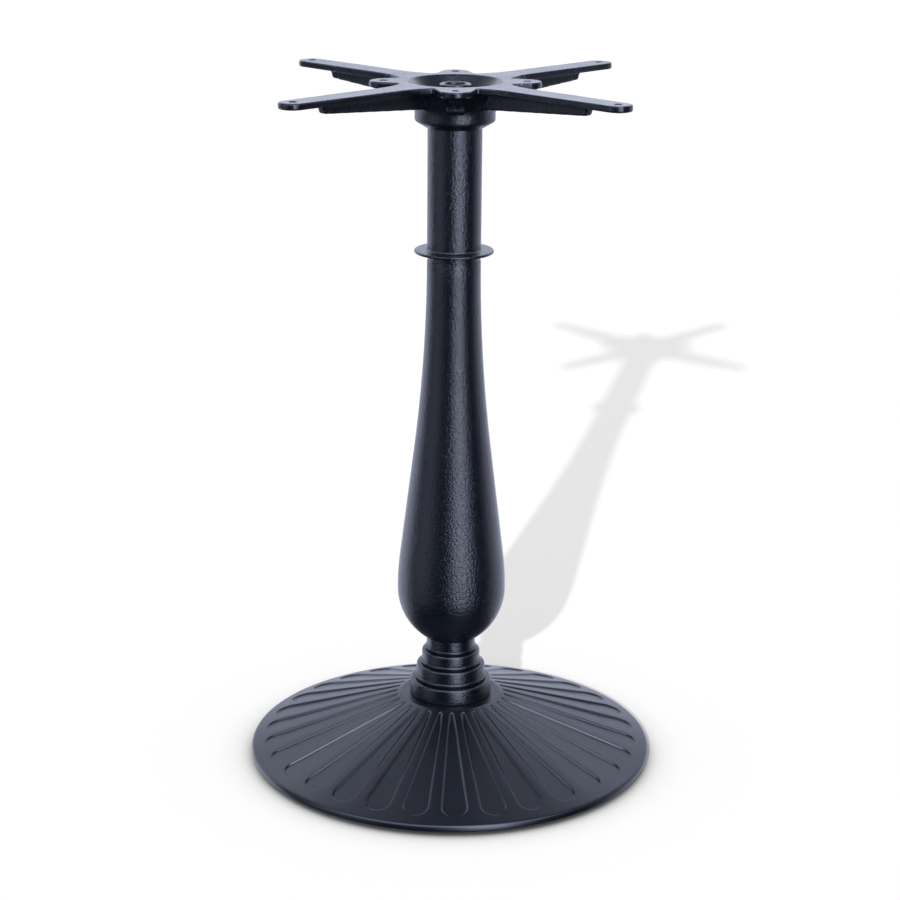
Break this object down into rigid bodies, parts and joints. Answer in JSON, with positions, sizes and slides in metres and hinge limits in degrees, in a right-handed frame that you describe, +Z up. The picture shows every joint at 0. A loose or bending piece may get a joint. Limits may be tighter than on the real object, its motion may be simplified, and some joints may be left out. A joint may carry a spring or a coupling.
{
  "type": "pedestal table base",
  "caption": "Cast-iron pedestal table base: dished foot plate with radial flutes, stepped baluster column with a ring, and a cross-armed spider drilled for a table top.",
  "frame": {"origin": "on the column's axis, at floor level under the glide pads", "axes": "+Z up along the column; the spider's arms lie on the diagonals of X and Y; the picture looks along +Y"},
  "size_m": [0.427, 0.427, 0.72],
  "materials": {
    "cast_iron_coat": "blue-black powder coat, satin, lightly hammered by the sand-cast skin under it",
    "plated_steel": "zinc plated, dull",
    "glide_plastic": "moulded nylon, matt"
  },
  "bodies": {
    "stand": {"base_casting": "cast_iron_coat", "column_casting": "cast_iron_coat", "top_spider": "cast_iron_coat", "tie_rod": "plated_steel", "top_washer": "plated_steel", "top_nut": "plated_steel", "bottom_plate_washer": "plated_steel", "bottom_nut": "plated_steel"},
    "glide_1": {"glide_pad_1": "glide_plastic", "glide_stud_1": "plated_steel"},
    "glide_2": {"glide_pad_2": "glide_plastic", "glide_stud_2": "plated_steel"},
    "glide_3": {"glide_pad_3": "glide_plastic", "glide_stud_3": "plated_steel"},
    "glide_4": {"glide_pad_4": "glide_plastic", "glide_stud_4": "plated_steel"}
  },
  "joints": [
    {"name": "glide_1_height", "type": "slide", "parent": "stand", "child": "glide_1", "axis": [0, 0, -1], "range_m": [0, 0.006]},
    {"name": "glide_2_height", "type": "slide", "parent": "stand", "child": "glide_2", "axis": [0, 0, -1], "range_m": [0, 0.006]},
    {"name": "glide_3_height", "type": "slide", "parent": "stand", "child": "glide_3", "axis": [0, 0, -1], "range_m": [0, 0.006]},
    {"name": "glide_4_height", "type": "slide", "parent": "stand", "child": "glide_4", "axis": [0, 0, -1], "range_m": [0, 0.006]}
  ]
}
